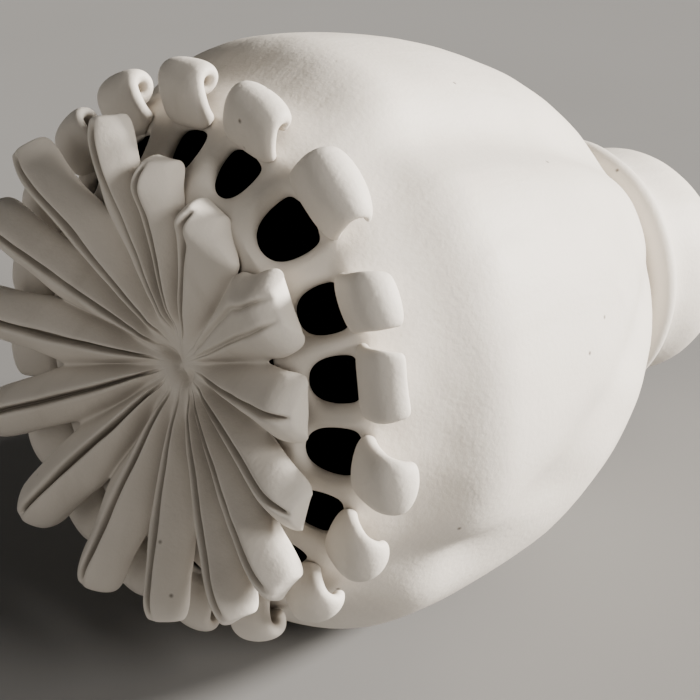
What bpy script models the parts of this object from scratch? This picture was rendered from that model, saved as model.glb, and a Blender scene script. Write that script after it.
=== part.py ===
"""Poppy seed head lying on its side: a hollow lobed capsule with a ring of pores and curled
valve flaps, a dished stigma disc of grooved rays, and a cut stem with a collar and a bulb.

The head is drawn along its own axis: +X runs from the disc to the stem, and an angle round
that axis is 0 at -Y and 90 at +Z. Shapes are in body radii. A last step scales them to
metres and lays the head down, with the flat spot of its belly on the ground at the origin.
"""

import math

import bmesh
import bpy
from mathutils import Matrix, Vector

# Size and pose of the whole head
BODY_RADIUS = 0.065
STEM_DOWN = math.radians(10)
HEAD_TURN = math.radians(-10)
FLAT_DEPTH = 0.0026
GAP = 0.0003 / BODY_RADIUS

# Capsule, in body radii
WALL = 0.064
WIDEST_X = 0.10
FRONT_LENGTH = 0.76
REAR_LENGTH = 1.38
REAR_SQUARENESS = 2.08
ROOF_X = -0.520
MOUTH_R = 0.50
ROOF_R = 0.56
REAR_FACE_X = 1.43
REAR_FACE_R = 0.42
BAND_START = math.radians(36.5)
BAND_END = math.radians(53.0)
BAND_MIDDLE = (BAND_START + BAND_END) / 2
FRONT_ROWS = [math.radians(a) for a in (61, 70, 80)]
REAR_ROWS = [math.radians(a) for a in (90, 100, 110, 120, 129, 138, 146, 153)]
SEGMENTS = 3  # faces across a pore's share of the wall, each way
PORE_ROUNDNESS = 2.5  # 2 is an ellipse, more is squarer
PORE_FLARE = 0.25  # how much wider a pore is on the inside

# Lobes of the capsule
VALLEY_ANGLES = (51.0, -39.0, -143.0, 143.0)
VALLEY_WIDTH = 15.0
VALLEY_DEPTH = 0.072
VALLEY_TWIST = 30.0

# Pores and flaps in falling order: angle, pore half width, pore half length,
# flap half width, flap height, lean back, curl
PORES = (
    (110.0, 0.075, 0.088, 0.096, 0.95, -4.0, 1.00),
    (89.0, 0.078, 0.092, 0.098, 1.05, -4.0, 1.00),
    (69.0, 0.083, 0.090, 0.114, 1.00, 0.0, 0.90),
    (47.0, 0.102, 0.105, 0.134, 1.12, 4.0, 0.75),
    (24.5, 0.074, 0.085, 0.092, 0.98, 8.0, 0.50),
    (7.0, 0.076, 0.088, 0.106, 0.82, 4.0, 0.45),
    (-11.5, 0.078, 0.088, 0.102, 1.00, 8.0, 0.50),
    (-30.5, 0.078, 0.086, 0.096, 0.94, 8.0, 0.60),
    (-50.5, 0.076, 0.084, 0.092, 0.92, 4.0, 0.70),
    (-70.5, 0.076, 0.084, 0.090, 0.90, 0.0, 0.80),
    (-90.5, 0.078, 0.086, 0.094, 0.94, 0.0, 0.80),
    (-111.5, 0.080, 0.088, 0.096, 0.98, 2.0, 0.75),
    (-131.5, 0.076, 0.084, 0.090, 0.90, 0.0, 0.85),
    (-151.0, 0.078, 0.088, 0.094, 0.96, 2.0, 0.70),
    (-171.5, 0.080, 0.086, 0.096, 0.92, 0.0, 0.80),
    (-190.5, 0.076, 0.084, 0.090, 0.88, 4.0, 0.85),
    (-210.0, 0.078, 0.086, 0.092, 0.86, 0.0, 0.80),
    (-229.5, 0.076, 0.084, 0.088, 0.80, 2.0, 0.90),
)
FLAP_THICKNESS = 0.056
FLAP_TAPER = 0.25  # share of the thickness lost at the tip
FLAP_NECK = 0.30  # how much narrower a flap is at its root
NECK_END = 0.43
TIP_NARROWING = 0.18
FLAP_STEP = 0.038
FLAP_HEADINGS = (62, 112, 134, 146, 168, 202, 242, 285, 325)
CURL_START = 4  # the first heading that belongs to the curled tip
CURL_STEP = 0.75  # length of a step of the curl, against one before it
LEAST_CURL = 0.35

# Stigma disc: angle, half width, tip radius, tip height and tip roll of each ray
RAYS = (
    (97.0, 0.080, 0.810, 0.02, 0.02),
    (82.0, 0.076, 0.690, 0.03, 0.09),
    (59.0, 0.082, 0.675, 0.03, 0.10),
    (25.0, 0.135, 0.740, 0.00, 0.04),
    (1.5, 0.098, 0.720, 0.00, 0.04),
    (-21.0, 0.088, 0.775, 0.00, 0.03),
    (-39.5, 0.078, 0.830, 0.00, 0.02),
    (-58.5, 0.088, 0.810, 0.00, 0.01),
    (-82.5, 0.084, 0.790, 0.00, 0.01),
    (-110.0, 0.090, 0.810, 0.00, 0.01),
    (-136.5, 0.090, 0.850, 0.00, 0.01),
    (-158.0, 0.086, 0.860, 0.01, 0.02),
    (-182.5, 0.086, 0.850, 0.00, 0.02),
    (-208.5, 0.090, 0.850, 0.00, 0.02),
    (-231.0, 0.084, 0.835, 0.01, 0.03),
)
HUB_X = -0.446
DISH_DEPTH = 0.235
DISH_RADIUS = 0.79
DISH_POWER = 1.1
NOTCH_R = 0.50
HUB_ROWS = (0.07, 0.14, 0.22, 0.31, 0.41)
RAY_ROWS = (0.22, 0.50, 0.76, 0.93, 1.0)
RAY_COLUMNS = (-1.0, -0.60, -0.15, 0.0, 0.15, 0.60, 1.0)
LIP_RELIEF = (-0.034, 0.010, 0.006, -0.040, 0.006, 0.010, -0.034)
HUB_SMOOTH = (0.05, 0.20)  # radii where the grooves fade in
ROLL_START = 0.45
SPLIT_END = 0.45  # share of a ray's free length where it stands clear of its neighbours
TIP_WIDTH = 0.60  # width of a ray's very end, against its full width
TIP_SQUARENESS = 2.6
TIP_BLUNTNESS = 0.97
TIP_TOP_DROP = 0.045
TIP_BOTTOM_RISE = 0.030
UNDERSIDE_X = -0.5255
HUB_THICKNESS = 0.085
HOLLOW_RADII = (0.12, 0.47)  # the underside sinks into the mouth between these
SKIRT_DROP = 0.05
SKIRT_RADII = (0.5, 0.8)

# Stem outline after the capsule: distance along the axis and radius
STEM_OUTLINE = (
    (REAR_FACE_X + GAP, 0.420),
    (1.447, 0.485),
    (1.480, 0.518),
    (1.515, 0.512),
    (1.550, 0.470),
    (1.605, 0.435),
    (1.700, 0.443),
    (1.800, 0.455),
    (1.900, 0.440),
    (1.990, 0.385),
    (2.070, 0.300),
    (2.150, 0.225),
    (2.240, 0.190),
    (2.340, 0.178),
)
STEM_FRONT = 0.060
STEM_WALL = 0.046
STEM_SIDES = 28
STEM_BEND = 0.10

COLOURS = {
    "capsule": (0.80, 0.77, 0.72),
    "stigma_disc": (0.79, 0.76, 0.71),
    "stem": (0.80, 0.77, 0.72),
}
ROUGHNESS = 0.55


def clear_scene():
    for obj in list(bpy.data.objects):
        bpy.data.objects.remove(obj)


def smoothstep(value, low, high):
    t = min(1.0, max(0.0, (value - low) / (high - low)))
    return t * t * (3 - 2 * t)


def at(x, radius, degrees):
    """The point at a distance along the axis, a radius from it and an angle round it."""
    a = math.radians(degrees)
    return Vector((x, -radius * math.cos(a), radius * math.sin(a)))


def valley_depth(x, degrees):
    """Share of the radius that the valleys between the lobes take away."""
    twist = VALLEY_TWIST * max(0.0, x - WIDEST_X)
    turns = [(degrees - valley - twist) % 360 for valley in VALLEY_ANGLES]
    off = min(min(turn, 360 - turn) for turn in turns)
    fade = smoothstep(x, -0.30, 0.25) * (1 - smoothstep(x, 0.95, 1.35))
    return VALLEY_DEPTH * fade * math.exp(-((off / VALLEY_WIDTH) ** 2))


def meridian(a):
    """Outline of the capsule at angle a of its ellipse: (x, radius, normal x, normal radius)."""
    if a <= math.pi / 2:
        length, power = FRONT_LENGTH, 1.0
    else:
        length, power = REAR_LENGTH, 2 / REAR_SQUARENESS
    c, s = -math.cos(a), math.sin(a)
    x = WIDEST_X + length * math.copysign(abs(c) ** power, c)
    radius = s**power
    nx = math.copysign(abs(c) ** (2 - power), c) / length
    nr = s ** (2 - power)
    size = math.hypot(nx, nr)
    return x, radius, nx / size, nr / size


def wall_point(a, degrees, depth):
    """A point of the capsule's wall, depth inside its outer face."""
    x, radius, nx, nr = meridian(a)
    radius *= 1 - valley_depth(x, degrees)
    return at(x - nx * depth, radius - nr * depth, degrees)


def wall_axes(a, degrees):
    """Directions at a point of the wall: towards the stem, outwards and round the axis."""
    x, radius, nx, nr = meridian(a)
    outwards = at(nx, nr, degrees)
    rearwards = at(nr, -nx, degrees)
    return rearwards, outwards, rearwards.cross(outwards)


def sector_edges(angles):
    """The angle halfway between each of these, in falling order, and the one after it."""
    count = len(angles)
    after = [angles[(i + 1) % count] - (360 if i + 1 == count else 0) for i in range(count)]
    return [(angle + following) / 2 for angle, following in zip(angles, after)]


def ring_directions():
    """The border of a square grid of SEGMENTS, as points from -1 to 1, and in order round it."""
    steps = [2 * i / SEGMENTS - 1 for i in range(SEGMENTS)]
    sides = [(s, -1) for s in steps] + [(1, s) for s in steps]
    return sides + [(-s, 1) for s in steps] + [(-1, -s) for s in steps]


def rounded(direction):
    """Where a direction meets a square with well rounded corners."""
    x, y = direction
    size = (abs(x) ** PORE_ROUNDNESS + abs(y) ** PORE_ROUNDNESS) ** (1 / PORE_ROUNDNESS)
    return x / size, y / size


def band_reach():
    """Length of the wall for each radian of the band of pores."""
    return math.dist(meridian(BAND_START)[:2], meridian(BAND_END)[:2]) / (BAND_END - BAND_START)


class Shell:
    """The capsule's wall as it is made: a mesh, and its points by layer, row and column."""

    def __init__(self):
        self.mesh = bmesh.new()
        self.points = {}

    def point(self, layer, row, column, place):
        key = (layer, row, column)
        if key not in self.points:
            self.points[key] = self.mesh.verts.new(place)
        return self.points[key]

    def face(self, corners, layer):
        """A face that looks outwards on the outer layer and inwards on the inner one."""
        self.mesh.faces.new(corners if layer == "outer" else corners[::-1])


def columns_of(found):
    """Angles of the wall's columns: each pore's share of the ring in SEGMENTS equal steps."""
    after = sector_edges([pore[0] for pore in found])
    before = [after[-1] + 360] + after[:-1]
    return [
        start + (end - start) * i / SEGMENTS
        for start, end in zip(before, after)
        for i in range(SEGMENTS)
    ]


def wall_rows():
    band = [BAND_START + (BAND_END - BAND_START) * i / SEGMENTS for i in range(SEGMENTS + 1)]
    return band + FRONT_ROWS + REAR_ROWS


def add_wall(shell, layer, depth, columns):
    """The rows of the wall behind the band of pores, and the rows of the band's border."""
    rows = wall_rows()
    count = len(columns)
    for row, a in enumerate(rows):
        for column, degrees in enumerate(columns):
            if 0 < row < SEGMENTS and column % SEGMENTS:
                continue
            shell.point(layer, row, column, wall_point(a, degrees, depth))
    for row in range(SEGMENTS, len(rows) - 1):
        for column in range(count):
            beside = (column + 1) % count
            shell.face(
                [
                    shell.points[layer, row, column],
                    shell.points[layer, row, beside],
                    shell.points[layer, row + 1, beside],
                    shell.points[layer, row + 1, column],
                ],
                layer,
            )


def add_roof(shell, layer, depth, columns):
    """The flat ring round the mouth that the stigma disc sits on, and the plate at the rear."""
    count = len(columns)
    last = len(wall_rows()) - 1
    rear_x = REAR_FACE_X - depth
    rear_r = REAR_FACE_R - depth
    for column, degrees in enumerate(columns):
        shell.point(layer, "rim", column, at(ROOF_X + depth, MOUTH_R, degrees))
        shell.point(layer, "roof", column, at(ROOF_X + depth, ROOF_R, degrees))
        shell.point(layer, "rear", column, at(rear_x, rear_r, degrees))
    for column in range(count):
        beside = (column + 1) % count
        for near, far in (("rim", "roof"), ("roof", 0), (last, "rear")):
            shell.face(
                [
                    shell.points[layer, near, column],
                    shell.points[layer, near, beside],
                    shell.points[layer, far, beside],
                    shell.points[layer, far, column],
                ],
                layer,
            )
    shell.face([shell.points[layer, "rear", c] for c in range(count)], layer)


def border_keys(pore_index, count):
    """Row and column of each point of the square round one pore, in ring order."""
    first = pore_index * SEGMENTS
    keys = []
    for x, y in ring_directions():
        column = first + round((x + 1) * SEGMENTS / 2)
        keys.append((round((y + 1) * SEGMENTS / 2), column % count))
    return keys


def add_pore(shell, layer, depth, pore_index, pore, count):
    """The wall round one pore, and the ring of points at the pore's edge."""
    angle, half_width, half_length = pore[:3]
    radius = meridian(BAND_MIDDLE)[1]
    widen = 1 + PORE_FLARE * depth / WALL
    for i, direction in enumerate(ring_directions()):
        u, v = rounded(direction)
        a = BAND_MIDDLE + v * half_length * widen / band_reach()
        degrees = angle - math.degrees(u * half_width * widen / radius)
        shell.point(layer, ("pore", pore_index), i, wall_point(a, degrees, depth))
    border = border_keys(pore_index, count)
    ring = [shell.points[layer, ("pore", pore_index), i] for i in range(len(border))]
    for i, corner in enumerate(border):
        j = (i + 1) % len(border)
        shell.face(
            [
                shell.points[(layer, *corner)],
                shell.points[(layer, *border[j])],
                ring[j],
                ring[i],
            ],
            layer,
        )


def flap_path(height, lean, curl):
    """Middle line of a flap: (rearwards, outwards, heading) at each step from its root."""
    rear, out = 0.0, 0.0
    path = []
    before = FLAP_HEADINGS[0]
    for i, heading in enumerate(FLAP_HEADINGS):
        length = FLAP_STEP * height
        if i > CURL_START:
            turn = heading - FLAP_HEADINGS[i - 1]
            bent = before + turn * (LEAST_CURL + (1 - LEAST_CURL) * curl)
            length *= CURL_STEP
        else:
            bent = heading + lean * min(1.0, i / 2)
        middle = math.radians((before + bent) / 2)
        rear -= length * math.cos(middle)
        out += length * math.sin(middle)
        path.append((rear, out, math.radians(bent)))
        before = bent
    return path


def flap_width(half_width, share):
    """Half the width of a flap at a share of its length: a neck, a wide middle, a blunt tip."""
    neck = 1 - FLAP_NECK * max(0.0, 1 - share / NECK_END)
    return half_width * neck * (1 - TIP_NARROWING * share**4)


def add_flap(shell, pore_index, pore):
    """The curled valve that stands on the rear edge of one pore, grown out of the wall."""
    angle, _, half_length, half_width, height, lean, curl = pore
    a = BAND_MIDDLE + half_length / band_reach()
    rearwards, outwards, along = wall_axes(a, angle)
    root = wall_point(a, angle, WALL / 2)
    ring_size = 4 * SEGMENTS
    root_ids = range(2 * SEGMENTS, 3 * SEGMENTS + 1)
    outer = [shell.points["outer", ("pore", pore_index), i % ring_size] for i in root_ids]
    inner = [shell.points["inner", ("pore", pore_index), i % ring_size] for i in root_ids]
    path = flap_path(height, lean, curl)
    for step, (rear, out, heading) in enumerate(path):
        share = (step + 1) / len(path)
        wide = flap_width(half_width, share)
        thick = FLAP_THICKNESS * (1 - FLAP_TAPER * share)
        face_out = outwards * math.cos(heading) + rearwards * math.sin(heading)
        centre = root + rearwards * rear + outwards * out
        sections = []
        for side in (1, -1):
            row = []
            for i in range(SEGMENTS + 1):
                across = 1 - 2 * i / SEGMENTS
                place = centre - along * (wide * across) + face_out * (side * thick / 2)
                row.append(shell.mesh.verts.new(place))
            sections.append(row)
        for i in range(SEGMENTS):
            shell.mesh.faces.new([outer[i], sections[0][i], sections[0][i + 1], outer[i + 1]])
            shell.mesh.faces.new([inner[i + 1], sections[1][i + 1], sections[1][i], inner[i]])
        shell.mesh.faces.new([outer[0], inner[0], sections[1][0], sections[0][0]])
        shell.mesh.faces.new([outer[-1], sections[0][-1], sections[1][-1], inner[-1]])
        outer, inner = sections
    for i in range(SEGMENTS):
        shell.mesh.faces.new([outer[i], inner[i], inner[i + 1], outer[i + 1]])


def add_edges(shell, pore_count, count):
    """The rim of the mouth, and the edge of each pore but where its flap stands."""
    for column in range(count):
        beside = (column + 1) % count
        shell.mesh.faces.new(
            [
                shell.points["outer", "rim", beside],
                shell.points["outer", "rim", column],
                shell.points["inner", "rim", column],
                shell.points["inner", "rim", beside],
            ]
        )
    ring_size = 4 * SEGMENTS
    flap_side = range(2 * SEGMENTS, 3 * SEGMENTS)
    for pore_index in range(pore_count):
        key = ("pore", pore_index)
        for i in range(ring_size):
            if i in flap_side:
                continue
            j = (i + 1) % ring_size
            shell.mesh.faces.new(
                [
                    shell.points["outer", key, i],
                    shell.points["outer", key, j],
                    shell.points["inner", key, j],
                    shell.points["inner", key, i],
                ]
            )


def capsule_mesh():
    columns = columns_of(PORES)
    shell = Shell()
    for layer, depth in (("outer", 0.0), ("inner", WALL)):
        add_wall(shell, layer, depth, columns)
        add_roof(shell, layer, depth, columns)
        for i, pore in enumerate(PORES):
            add_pore(shell, layer, depth, i, pore, len(columns))
    add_edges(shell, len(PORES), len(columns))
    for i, pore in enumerate(PORES):
        add_flap(shell, i, pore)
    return shell.mesh


def disc_top(radius):
    return HUB_X - DISH_DEPTH * (radius / DISH_RADIUS) ** DISH_POWER


def disc_underside(radius):
    """Flat where it meets the capsule's roof and beyond, and sunk into the mouth within."""
    hub = HUB_X + HUB_THICKNESS
    sunk = 1 - smoothstep(radius, *HOLLOW_RADII)
    skirt = SKIRT_DROP * smoothstep(radius, *SKIRT_RADII)
    return UNDERSIDE_X + (hub - UNDERSIDE_X) * sunk - skirt


def ray_section(ray, before, after, share):
    """Points across a ray at a share of its free length: the top row and the bottom row."""
    angle, half_width, tip, lift, roll = ray
    radius = NOTCH_R + (tip - NOTCH_R) * share
    end = max(0.0, (share - RAY_ROWS[1]) / (1 - RAY_ROWS[1]))
    full = math.sqrt(1 - TIP_BLUNTNESS * end**TIP_SQUARENESS)
    half = half_width * (TIP_WIDTH + (1 - TIP_WIDTH) * full)
    back = lift * share - roll * smoothstep(share, ROLL_START, 1.0)
    sides = [math.tan(math.radians(abs(edge - angle))) * NOTCH_R for edge in (before, after)]
    open_up = smoothstep(share, 0.0, SPLIT_END)
    forward, aside = at(0, 1, angle), at(0, 1, angle + 90)
    top, bottom = [], []
    for column, relief in zip(RAY_COLUMNS, LIP_RELIEF):
        side = sides[0] if column < 0 else sides[1]
        across = -column * (side + (half - side) * open_up)
        place = forward * radius + aside * across
        x = disc_top(radius) - back - relief * (1 if abs(column) > 0.5 else full)
        x_low = disc_underside(radius) - back
        top.append(Vector((x + TIP_TOP_DROP * (1 - full), place.y, place.z)))
        bottom.append(Vector((x_low - TIP_BOTTOM_RISE * (1 - full), place.y, place.z)))
    return top, bottom


def hub_section(ray, before, after, radius):
    """Points across one ray's share of the closed part of the disc."""
    angle = ray[0]
    top, bottom = [], []
    start = smoothstep(radius, *HUB_SMOOTH)
    for column, relief in zip(RAY_COLUMNS, LIP_RELIEF):
        side = before if column < 0 else after
        degrees = angle + abs(column) * (side - angle)
        top.append(at(disc_top(radius) - relief * start, radius, degrees))
        bottom.append(at(disc_underside(radius), radius, degrees))
    return top, bottom


def disc_mesh():
    mesh = bmesh.new()
    after = sector_edges([ray[0] for ray in RAYS])
    before = [after[-1] + 360] + after[:-1]
    shared = {}

    def points_of(places, layer, row, index):
        """The row's vertices, where the first and last are shared with the rays beside."""
        verts = []
        for i, place in enumerate(places):
            edge = index if i == 0 else (index + 1) % len(RAYS) if i == len(places) - 1 else None
            key = (layer, row, "edge", edge) if edge is not None else (layer, row, index, i)
            if key not in shared:
                shared[key] = mesh.verts.new(place)
            verts.append(shared[key])
        return verts

    centre = [
        mesh.verts.new((disc_top(0), 0, 0)),
        mesh.verts.new((disc_underside(0), 0, 0)),
    ]
    for index, ray in enumerate(RAYS):
        rows = []
        for radius in (*HUB_ROWS, NOTCH_R):
            if radius == NOTCH_R:
                sections = ray_section(ray, before[index], after[index], 0.0)
            else:
                sections = hub_section(ray, before[index], after[index], radius)
            rows.append([points_of(s, layer, radius, index) for layer, s in enumerate(sections)])
        for share in RAY_ROWS:
            sections = ray_section(ray, before[index], after[index], share)
            rows.append([[mesh.verts.new(place) for place in s] for s in sections])
        last = len(RAY_COLUMNS) - 1
        for i in range(last):
            mesh.faces.new([centre[0], rows[0][0][i], rows[0][0][i + 1]])
            mesh.faces.new([centre[1], rows[0][1][i + 1], rows[0][1][i]])
        for number, (near, far) in enumerate(zip(rows, rows[1:])):
            for i in range(last):
                mesh.faces.new([near[0][i], far[0][i], far[0][i + 1], near[0][i + 1]])
                mesh.faces.new([near[1][i + 1], far[1][i + 1], far[1][i], near[1][i]])
            if number >= len(HUB_ROWS):
                mesh.faces.new([near[0][0], near[1][0], far[1][0], far[0][0]])
                mesh.faces.new([near[1][last], near[0][last], far[0][last], far[1][last]])
        tip = rows[-1]
        for i in range(last):
            mesh.faces.new([tip[0][i], tip[1][i], tip[1][i + 1], tip[0][i + 1]])
    return mesh


def stem_mesh():
    """A collar, a bulb and a short tube cut open at its end, bending a little downwards."""
    mesh = bmesh.new()
    start = STEM_OUTLINE[0][0]
    outline = [(x, radius) for x, radius in STEM_OUTLINE]
    behind = [(x, radius) for x, radius in STEM_OUTLINE[::-1] if x > start + STEM_FRONT]
    outline += [(x, radius - STEM_WALL) for x, radius in behind]
    outline += [(start + STEM_FRONT, behind[-1][1] - 2 * STEM_WALL)]
    rings = []
    for x, radius in outline:
        drop = STEM_BEND * max(0.0, x - start) ** 2
        ring = []
        for i in range(STEM_SIDES):
            place = at(x, radius, 360 * i / STEM_SIDES)
            ring.append(mesh.verts.new(place - Vector((0, 0, drop))))
        rings.append(ring)
    for near, far in zip(rings, rings[1:]):
        for i in range(STEM_SIDES):
            j = (i + 1) % STEM_SIDES
            mesh.faces.new([near[i], far[i], far[j], near[j]])
    mesh.faces.new(rings[0])
    mesh.faces.new(rings[-1][::-1])
    return mesh


def lying_matrix():
    """From body radii along the head's own axis to metres, lying on the ground."""
    tilt = Matrix.Rotation(STEM_DOWN, 4, "Y")
    outline = [tilt @ at(*meridian(math.radians(a))[:2], -90) for a in range(90, 150)]
    lowest = min(outline, key=lambda place: place.z)
    to_metres = Matrix.Scale(BODY_RADIUS, 4)
    up = Matrix.Translation((-lowest.x, 0, -lowest.z - FLAT_DEPTH / BODY_RADIUS))
    return to_metres @ up @ tilt @ Matrix.Rotation(HEAD_TURN, 4, "X")


def flatten_belly(mesh):
    """Cuts the flat spot that the head rests on."""
    whole = mesh.verts[:] + mesh.edges[:] + mesh.faces[:]
    cut = bmesh.ops.bisect_plane(
        mesh, geom=whole, plane_co=(0, 0, 0), plane_no=(0, 0, -1), clear_outer=True
    )
    edges = [e for e in cut["geom_cut"] if isinstance(e, bmesh.types.BMEdge)]
    bmesh.ops.contextual_create(mesh, geom=edges)


def material_of(name):
    material = bpy.data.materials.new(name)
    material.use_nodes = True
    shader = material.node_tree.nodes["Principled BSDF"]
    shader.inputs["Base Color"].default_value = (*COLOURS[name], 1)
    shader.inputs["Roughness"].default_value = ROUGHNESS
    shader.inputs["Metallic"].default_value = 0.0
    return material


def add_object(name, mesh):
    bmesh.ops.recalc_face_normals(mesh, faces=mesh.faces)
    if mesh.calc_volume(signed=True) < 0:
        bmesh.ops.reverse_faces(mesh, faces=mesh.faces)
    data = bpy.data.meshes.new(name)
    mesh.to_mesh(data)
    mesh.free()
    data.materials.append(material_of(name))
    data.shade_smooth()
    obj = bpy.data.objects.new(name, data)
    bpy.context.scene.collection.objects.link(obj)
    return obj


def main():
    clear_scene()
    pose = lying_matrix()
    meshes = {"capsule": capsule_mesh(), "stigma_disc": disc_mesh(), "stem": stem_mesh()}
    for name, mesh in meshes.items():
        mesh.transform(pose)
        flatten_belly(mesh)
        add_object(name, mesh)


main()
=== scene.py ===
"""Looks for the poppy seed head: the fine fired-clay surface of its three pieces, and a studio.

The head is drawn along its own axis: +X runs from the disc to the stem, and an angle round
that axis is 0 at -Y and 90 at +Z. Shapes are in body radii, and HeadPose lays them down in
metres, in the same place as the solids that they replace.
"""

import logging
import math
from abc import ABC, abstractmethod
from dataclasses import dataclass, field
from enum import Enum
from typing import ClassVar, Optional, Sequence, Union

import bmesh
import bpy
from mathutils import Matrix, Vector, noise


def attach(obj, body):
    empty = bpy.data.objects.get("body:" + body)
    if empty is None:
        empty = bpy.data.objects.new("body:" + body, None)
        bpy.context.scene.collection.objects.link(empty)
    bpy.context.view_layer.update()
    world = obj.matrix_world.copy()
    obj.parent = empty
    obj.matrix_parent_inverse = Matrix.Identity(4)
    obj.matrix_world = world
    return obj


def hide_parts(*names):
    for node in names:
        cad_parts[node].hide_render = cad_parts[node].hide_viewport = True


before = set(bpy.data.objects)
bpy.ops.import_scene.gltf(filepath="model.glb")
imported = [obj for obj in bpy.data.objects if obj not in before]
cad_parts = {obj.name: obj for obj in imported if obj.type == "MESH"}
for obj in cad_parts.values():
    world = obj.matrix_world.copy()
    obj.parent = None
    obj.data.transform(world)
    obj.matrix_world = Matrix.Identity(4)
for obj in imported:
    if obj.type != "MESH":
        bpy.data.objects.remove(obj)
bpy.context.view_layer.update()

LOG = logging.getLogger("poppy_seed_head")

Pair = tuple[float, float]
Triple = tuple[float, float, float]
Sections = tuple[list[Vector], list[Vector]]
Cage = bmesh.types.BMesh
Corner = bmesh.types.BMVert
Carried = bmesh.types.BMLayerItem
Object = bpy.types.Object
Material = bpy.types.Material
Tree = bpy.types.NodeTree
Node = bpy.types.Node
Socket = bpy.types.NodeSocket
Value = Union[Socket, float, Sequence[float]]

# The angle round the axis at which the head's underside lies.
DOWN = -90


def clamp(value: float) -> float:
    """Return a value held between 0 and 1."""
    return min(1.0, max(0.0, value))


def smoothstep(value: float, low: float, high: float) -> float:
    """Return 0 below low, 1 above high, and a smooth rise between them."""
    t = clamp((value - low) / (high - low))
    return t * t * (3 - 2 * t)


def bell(offset: float) -> float:
    """Return 1 at no offset, and a smooth fall to 0 on both sides."""
    return math.exp(-(offset**2))


def at(x: float, radius: float, degrees: float) -> Vector:
    """Return the point at a distance along the axis, a radius and an angle round it."""
    a = math.radians(degrees)
    return Vector((x, -radius * math.cos(a), radius * math.sin(a)))


def sectors(angles: Sequence[float]) -> list[Pair]:
    """Share the circle out among pores or rays.

    Args:
        angles: Their angles round the axis, in falling order.

    Returns:
        The angles at which each one's share starts and ends, halfway to those beside it.
    """
    following = [*angles[1:], angles[0] - 360]
    ends = [(angle + after) / 2 for angle, after in zip(angles, following)]
    starts = [ends[-1] + 360, *ends[:-1]]
    return list(zip(starts, ends))


class Mask(Enum):
    """A value from 0 to 1 that a mesh carries, which sets where its finish paints shade."""

    INSIDE = "inside"
    SLIT = "slit"


@dataclass(frozen=True)
class Valley:
    """A valley between two lobes: its angle and width in degrees, and share of the radius.

    Its twist is how many degrees it turns in one body radius towards the stem.
    """

    angle: float
    width: float
    depth: float
    twist: float = 30.0


@dataclass(frozen=True)
class Swell:
    """A ring of the wall that stands out: its angle and width in degrees, and its share.

    The angle is measured from the front pole. A negative share of the radius sinks in.
    """

    angle: float
    width: float
    height: float


@dataclass(frozen=True)
class BodyOutline:
    """The capsule's outline, in body radii, with its lobes and its shoulder."""

    wall: float = 0.064
    widest_x: float = 0.10
    front_length: float = 0.76
    rear_length: float = 1.38
    rear_squareness: float = 2.08
    valleys: tuple[Valley, ...] = (
        Valley(51.5, 7.5, 0.098, -3.0),
        Valley(-37.0, 7.5, 0.096, 48.0),
        Valley(-143.0, 15.0, 0.072),
        Valley(143.0, 15.0, 0.072),
    )
    valley_start: Pair = (-0.30, 0.05)
    valley_end: Pair = (0.95, 1.35)
    swells: tuple[Swell, ...] = (Swell(66.5, 7.5, -0.028), Swell(80.0, 7.5, 0.013))

    def meridian(self, a: float) -> tuple[float, float, float, float]:
        """Find a place on the plain outline.

        Args:
            a: Angle from the front pole of the outline's ellipse, in radians.

        Returns:
            Distance along the axis, radius, and the two parts of the outward normal.
        """
        if a <= math.pi / 2:
            length, power = self.front_length, 1.0
        else:
            length, power = self.rear_length, 2 / self.rear_squareness
        c, s = -math.cos(a), math.sin(a)
        x = self.widest_x + length * math.copysign(abs(c) ** power, c)
        nx = math.copysign(abs(c) ** (2 - power), c) / length
        nr = s ** (2 - power)
        size = math.hypot(nx, nr)
        return x, s**power, nx / size, nr / size

    def valley(self, x: float, degrees: float) -> float:
        """Find how deep the valleys between the lobes are.

        Args:
            x: Distance along the axis.
            degrees: Angle round the axis.

        Returns:
            The share of the radius that they take away.
        """
        fade = smoothstep(x, *self.valley_start) * (1 - smoothstep(x, *self.valley_end))
        cuts = []
        for valley in self.valleys:
            twist = valley.twist * max(0.0, x - self.widest_x)
            turn = (degrees - valley.angle - twist) % 360
            cuts.append(valley.depth * bell(min(turn, 360 - turn) / valley.width))
        return max(cuts) * fade

    def shoulder(self, a: float) -> float:
        """Find how far the rings of the shoulder stand out.

        Args:
            a: Angle from the front pole, in radians.

        Returns:
            The share of the radius that they add.
        """
        added = 0.0
        for swell in self.swells:
            added += swell.height * bell((math.degrees(a) - swell.angle) / swell.width)
        return added

    def wall_point(self, a: float, degrees: float, depth: float) -> Vector:
        """Find a point of the wall.

        Args:
            a: Angle from the front pole, in radians.
            degrees: Angle round the axis.
            depth: Distance inside the outer face.

        Returns:
            The point, in body radii.
        """
        x, radius, nx, nr = self.meridian(a)
        radius *= 1 - self.valley(x, degrees) + self.shoulder(a)
        return at(x - nx * depth, radius - nr * depth, degrees)

    def axes(self, a: float, degrees: float) -> tuple[Vector, Vector, Vector]:
        """Find the directions at a point of the wall.

        Args:
            a: Angle from the front pole, in radians.
            degrees: Angle round the axis.

        Returns:
            Directions along the wall to the rear, outwards, and round the axis.
        """
        _, _, nx, nr = self.meridian(a)
        outwards = at(nx, nr, degrees)
        rearwards = at(nr, -nx, degrees)
        return rearwards, outwards, rearwards.cross(outwards)


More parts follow.
